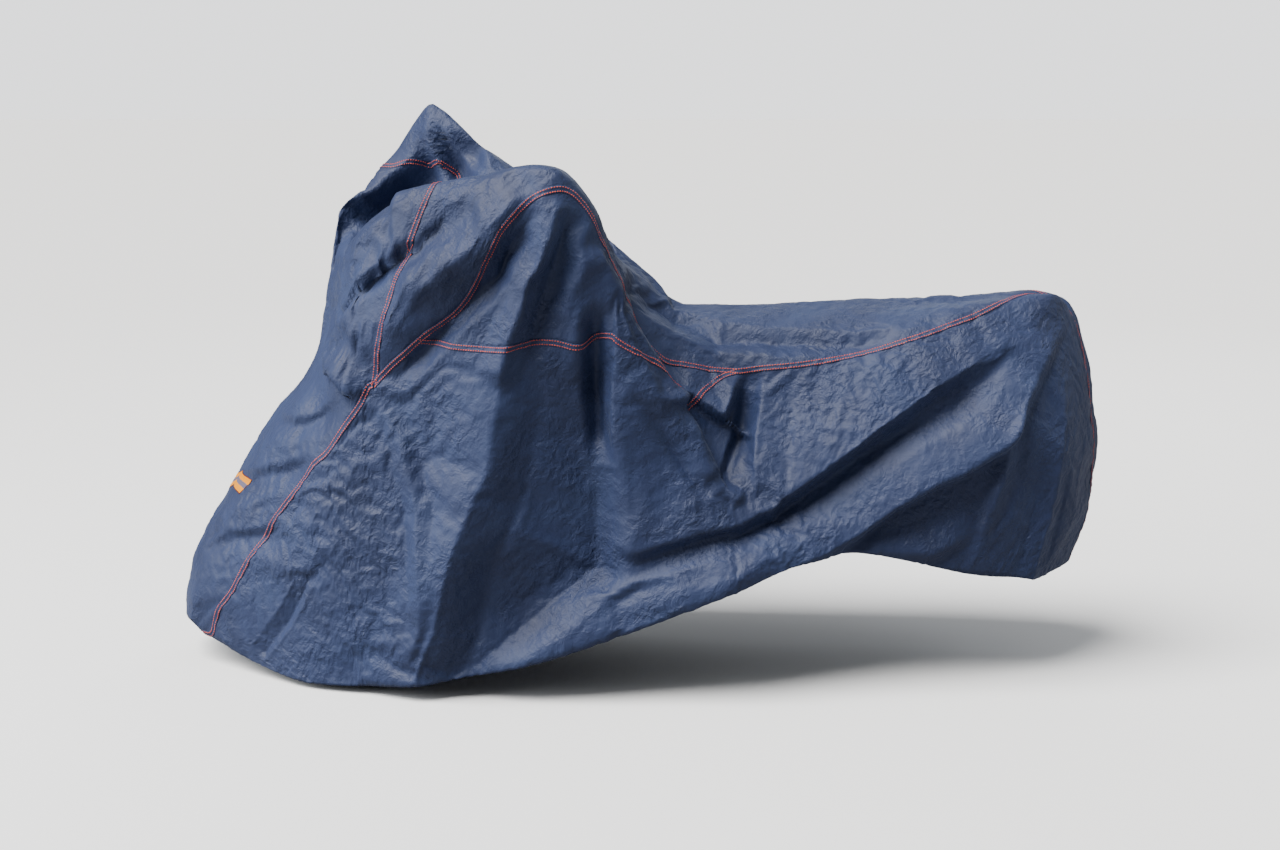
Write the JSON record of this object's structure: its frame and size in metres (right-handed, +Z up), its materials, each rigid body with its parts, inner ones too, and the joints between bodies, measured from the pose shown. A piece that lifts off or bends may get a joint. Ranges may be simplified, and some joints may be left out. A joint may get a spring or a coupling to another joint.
{
  "type": "motorcycle cover",
  "caption": "Thin coated-cloth motorcycle cover in its draped shape, sewn from panels, with two peaks, a long low back, deep folds and a reflective strip; hollow and open below",
  "frame": {"origin": "on the inner side of the cloth, at the front of the low back, where the cover rests on what holds it up", "axes": "+X from nose to tail, +Y from the near side, which the picture shows, to the far side, +Z up"},
  "size_m": [2.3161, 0.8304, 1.3447],
  "materials": {
    "cloth": "navy coated polyester, softly shiny and crinkled",
    "tape": "fluorescent orange reflective tape with a silver-grey middle band"
  },
  "bodies": {
    "root": {"front_panel": "cloth", "top_panel": "cloth", "side_panel_near": "cloth", "side_panel_far": "cloth", "gusset_near": "cloth", "gusset_far": "cloth", "reflective_tape": "tape"}
  },
  "joints": []
}
